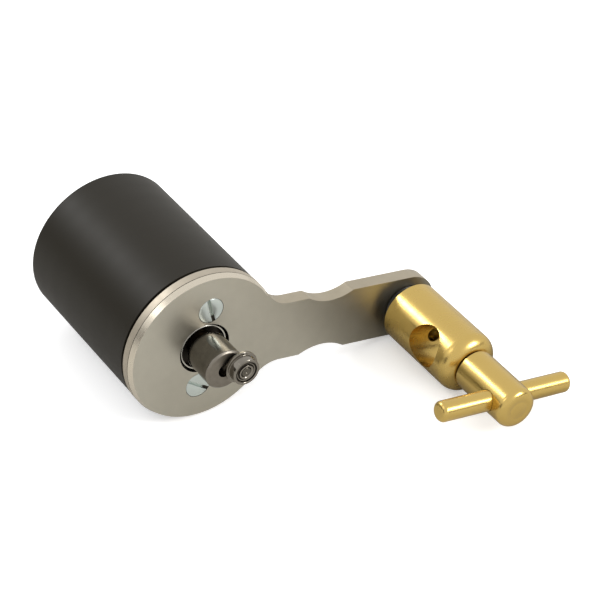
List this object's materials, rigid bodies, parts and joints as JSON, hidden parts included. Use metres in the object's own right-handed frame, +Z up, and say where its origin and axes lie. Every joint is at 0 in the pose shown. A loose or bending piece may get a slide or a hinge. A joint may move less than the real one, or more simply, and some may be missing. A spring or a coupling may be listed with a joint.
{
  "type": "rotary tattoo machine",
  "caption": "Direct-drive rotary tattoo machine: motor in a round sleeve, flat arm, eccentric with ball bearing, and a round post with a tee-bar thumb screw for the tube.",
  "frame": {"origin": "middle of the footprint on the table, as the machine lies on its plate's rim and round end", "axes": "+Y along the motor's axis from the eccentric to the power socket, +X from the motor to the tube clamp, +Z up from the table"},
  "size_m": [0.0772, 0.0856, 0.0319],
  "materials": {
    "stainless": "fine brushed stainless steel, turned rim",
    "zinc_steel": "bright zinc plate, slightly blue",
    "black_aluminium": "satin black anodised",
    "nickel_steel": "nickel plate",
    "ferrite": "dull dark ceramic magnet",
    "bronze": "oiled sintered bronze",
    "black_plastic": "moulded",
    "carbon": "carbon brush",
    "terminal_brass": "plain",
    "bright_steel": "ground",
    "lamination_steel": "stacked sheet",
    "copper": "enamelled wire",
    "dark_steel": "burnished, heat darkened",
    "bearing_steel": "polished",
    "spacer_black": "satin black",
    "brass": "bright turned brass",
    "white_plastic": "moulded",
    "lead_red": "wire sleeve",
    "lead_black": "wire sleeve"
  },
  "bodies": {
    "frame": {"frame_plate": "stainless", "motor_screw_upper": "zinc_steel", "motor_screw_lower": "zinc_steel", "motor_sleeve": "black_aluminium", "rear_cap": "black_aluminium", "cap_screw_upper": "zinc_steel", "cap_screw_lower": "zinc_steel", "motor_can": "nickel_steel", "magnet_left": "ferrite", "magnet_right": "ferrite", "front_bush": "bronze", "end_bell": "black_plastic", "rear_bush": "bronze", "brush_left": "carbon", "brush_right": "carbon", "terminal_left": "terminal_brass", "terminal_right": "terminal_brass", "post_fixing_screw": "zinc_steel", "socket_shell": "nickel_steel", "socket_insulator": "white_plastic", "socket_contact": "terminal_brass", "socket_nut": "nickel_steel", "lead_positive": "lead_red", "lead_negative": "lead_black"},
    "rotor": {"motor_shaft": "bright_steel", "armature_core": "lamination_steel", "coil_1": "copper", "coil_2": "copper", "coil_3": "copper", "commutator": "copper", "cam_hub": "dark_steel", "cam_set_screw": "dark_steel", "drive_pin": "bright_steel", "bearing_inner_ring": "bearing_steel"},
    "bearing": {"bearing_outer_ring": "bearing_steel", "shield_front": "bearing_steel", "shield_rear": "bearing_steel", "bearing_balls": "bearing_steel"},
    "post": {"clamp_post": "brass", "post_spacer": "spacer_black"},
    "pad": {"clamp_pad": "brass"},
    "thumb_screw": {"clamp_screw": "brass", "tee_bar": "brass"}
  },
  "joints": [
    {"name": "rotor_spin", "type": "hinge", "parent": "frame", "child": "rotor", "pos_m": [-0.02266, -0.0048, 0.01595], "axis": [0, -1, 0], "continuous": true},
    {"name": "bearing_spin", "type": "hinge", "parent": "rotor", "child": "bearing", "pos_m": [-0.01977, -0.01415, 0.01608], "axis": [0, -1, 0], "continuous": true},
    {"name": "post_swivel", "type": "hinge", "parent": "frame", "child": "post", "pos_m": [0.0232, -0.0048, 0.00661], "axis": [0, -1, 0], "range_deg": [-20, 20]},
    {"name": "clamp_travel", "type": "slide", "parent": "post", "child": "pad", "axis": [0, -1, 0], "range_m": [0, 0.0023]},
    {"name": "clamp_turn", "type": "hinge", "parent": "pad", "child": "thumb_screw", "pos_m": [0.0232, -0.03785, 0.00661], "axis": [0, -1, 0], "range_deg": [0, 810]}
  ],
  "couplings": [
    {"joint": "clamp_travel", "follows": "clamp_turn", "m_per_rad": 0.00015915}
  ]
}
